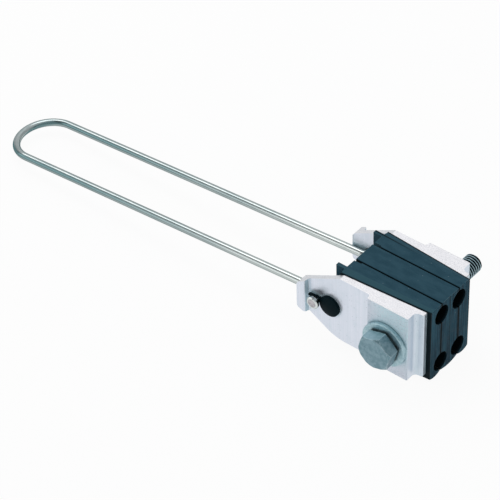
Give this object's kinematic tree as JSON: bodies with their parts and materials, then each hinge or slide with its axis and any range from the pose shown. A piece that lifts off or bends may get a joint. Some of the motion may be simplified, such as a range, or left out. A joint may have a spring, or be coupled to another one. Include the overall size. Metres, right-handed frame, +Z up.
{
  "type": "anchor clamp",
  "caption": "Bolted wedge anchor clamp for aerial bundled cable: tapered plastic jaws with core bores between aluminium side plates, on a long steel wire bail.",
  "frame": {"origin": "middle of the jaws' line-side end face, level with the clamp bolt's axis", "axes": "+X along the cores towards the line, +Y along the clamp bolt from its head to its thread end, +Z up; the bail lies towards -X"},
  "size_m": [0.2766, 0.0806, 0.044],
  "materials": {
    "plate_aluminium": "extruded, satin, fine streaks along the extrusion",
    "jaw_plastic": "moulded, slightly satin blue-black",
    "bail_steel": "bright drawn stainless wire",
    "galvanised_steel": "dull mottled zinc",
    "plug_plastic": "moulded black"
  },
  "bodies": {
    "middle": {"jaw_middle": "jaw_plastic"},
    "front_half": {"side_plate_front": "plate_aluminium", "jaw_front": "jaw_plastic", "bolt_washer": "galvanised_steel"},
    "back_half": {"side_plate_back": "plate_aluminium", "jaw_back": "jaw_plastic", "clamp_nut": "galvanised_steel"},
    "bolt": {"clamp_bolt": "galvanised_steel"},
    "plug": {"locking_plug": "plug_plastic"},
    "bail": {"bail": "bail_steel"}
  },
  "joints": [
    {"name": "front_half_slide", "type": "slide", "parent": "middle", "child": "front_half", "axis": [0, -1, 0], "range_m": [0, 0.00112]},
    {"name": "back_half_slide", "type": "slide", "parent": "middle", "child": "back_half", "axis": [0, 1, 0], "range_m": [0, 0.00112]},
    {"name": "bolt_turn", "type": "hinge", "parent": "front_half", "child": "bolt", "pos_m": [-0.0188, 0, 0], "axis": [0, -1, 0], "range_deg": [0, 540]},
    {"name": "plug_turn", "type": "hinge", "parent": "front_half", "child": "plug", "pos_m": [-0.05345, -0.0217, 0.0018], "axis": [0, 1, 0], "range_deg": [0, 70]},
    {"name": "bail_swing", "type": "hinge", "parent": "middle", "child": "bail", "pos_m": [-0.0613, 0, 0.0018], "axis": [0, 1, 0], "range_deg": [-85, 95]}
  ],
  "couplings": [
    {"joint": "bolt_turn", "follows": "front_half_slide", "rad_per_m": 8377.6},
    {"joint": "back_half_slide", "follows": "front_half_slide", "ratio": 1}
  ]
}
